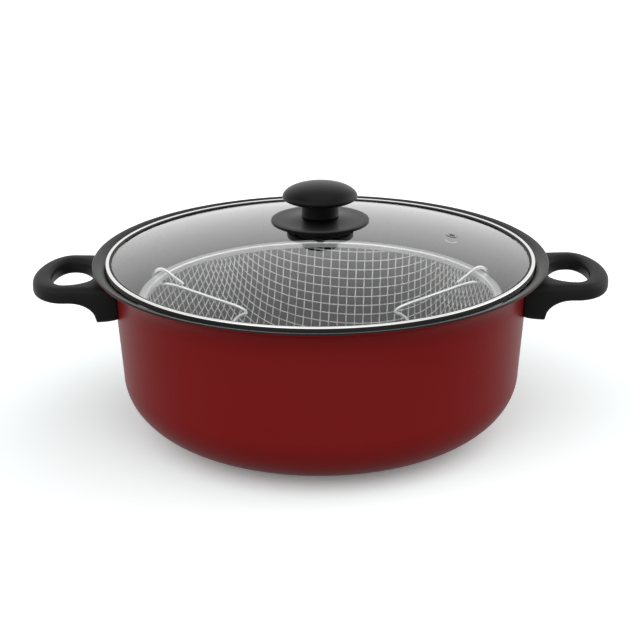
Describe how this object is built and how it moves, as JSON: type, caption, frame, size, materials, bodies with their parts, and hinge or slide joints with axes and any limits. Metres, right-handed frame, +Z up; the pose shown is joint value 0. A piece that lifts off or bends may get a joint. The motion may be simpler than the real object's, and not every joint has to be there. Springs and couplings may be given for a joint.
{
  "type": "deep fry pot with basket",
  "caption": "Deep enamelled frying pot with side handles, a domed glass lid with a knob, and a lift-out wire basket with folding wire handles.",
  "frame": {"origin": "middle of the pot's flat base, at the height of the surface that it stands on", "axes": "+X towards the right side handle, +Z up along the pot's axis"},
  "size_m": [0.388, 0.306, 0.1712],
  "materials": {
    "enamel": "glossy red enamel outside, dark non-stick coating inside",
    "moulding": "black phenolic moulding with a soft sheen",
    "steel": "bright stainless",
    "wire": "bright plated wire",
    "glass": "clear tempered glass",
    "brass": "turned",
    "silicone": "black, matt"
  },
  "bodies": {
    "pot": {"pot_body": "enamel", "handle_bracket_left": "steel", "side_handle_left": "moulding", "handle_washer_left": "steel", "handle_screw_left": "steel", "handle_bracket_right": "steel", "side_handle_right": "moulding", "handle_washer_right": "steel", "handle_screw_right": "steel"},
    "basket": {"basket_mesh": "wire", "basket_rim": "steel"},
    "bail_left": {"bail_left": "wire"},
    "bail_right": {"bail_right": "wire"},
    "lid": {"lid_glass": "glass", "lid_band": "steel", "vent_eyelet": "steel", "lid_knob": "moulding", "knob_skirt": "moulding", "knob_insert": "brass", "knob_seal_upper": "silicone", "knob_seal_lower": "silicone", "knob_washer": "steel", "knob_screw": "steel"}
  },
  "joints": [
    {"name": "basket_lift", "type": "slide", "parent": "pot", "child": "basket", "axis": [0, 0, 1], "range_m": [0, 0.12]},
    {"name": "lid_lift", "type": "slide", "parent": "basket", "child": "lid", "axis": [0, 0, 1], "range_m": [0, 0.18]},
    {"name": "bail_left_swing", "type": "hinge", "parent": "basket", "child": "bail_left", "pos_m": [-0.11177, 0, 0.0916], "axis": [0, -1, 0], "range_deg": [0, 150]},
    {"name": "bail_right_swing", "type": "hinge", "parent": "basket", "child": "bail_right", "pos_m": [0.11177, 0, 0.0916], "axis": [0, 1, 0], "range_deg": [0, 150]}
  ],
  "couplings": [
    {"joint": "bail_left_swing", "follows": "lid_lift", "rad_per_m": 14.54},
    {"joint": "bail_right_swing", "follows": "lid_lift", "rad_per_m": 14.54}
  ]
}
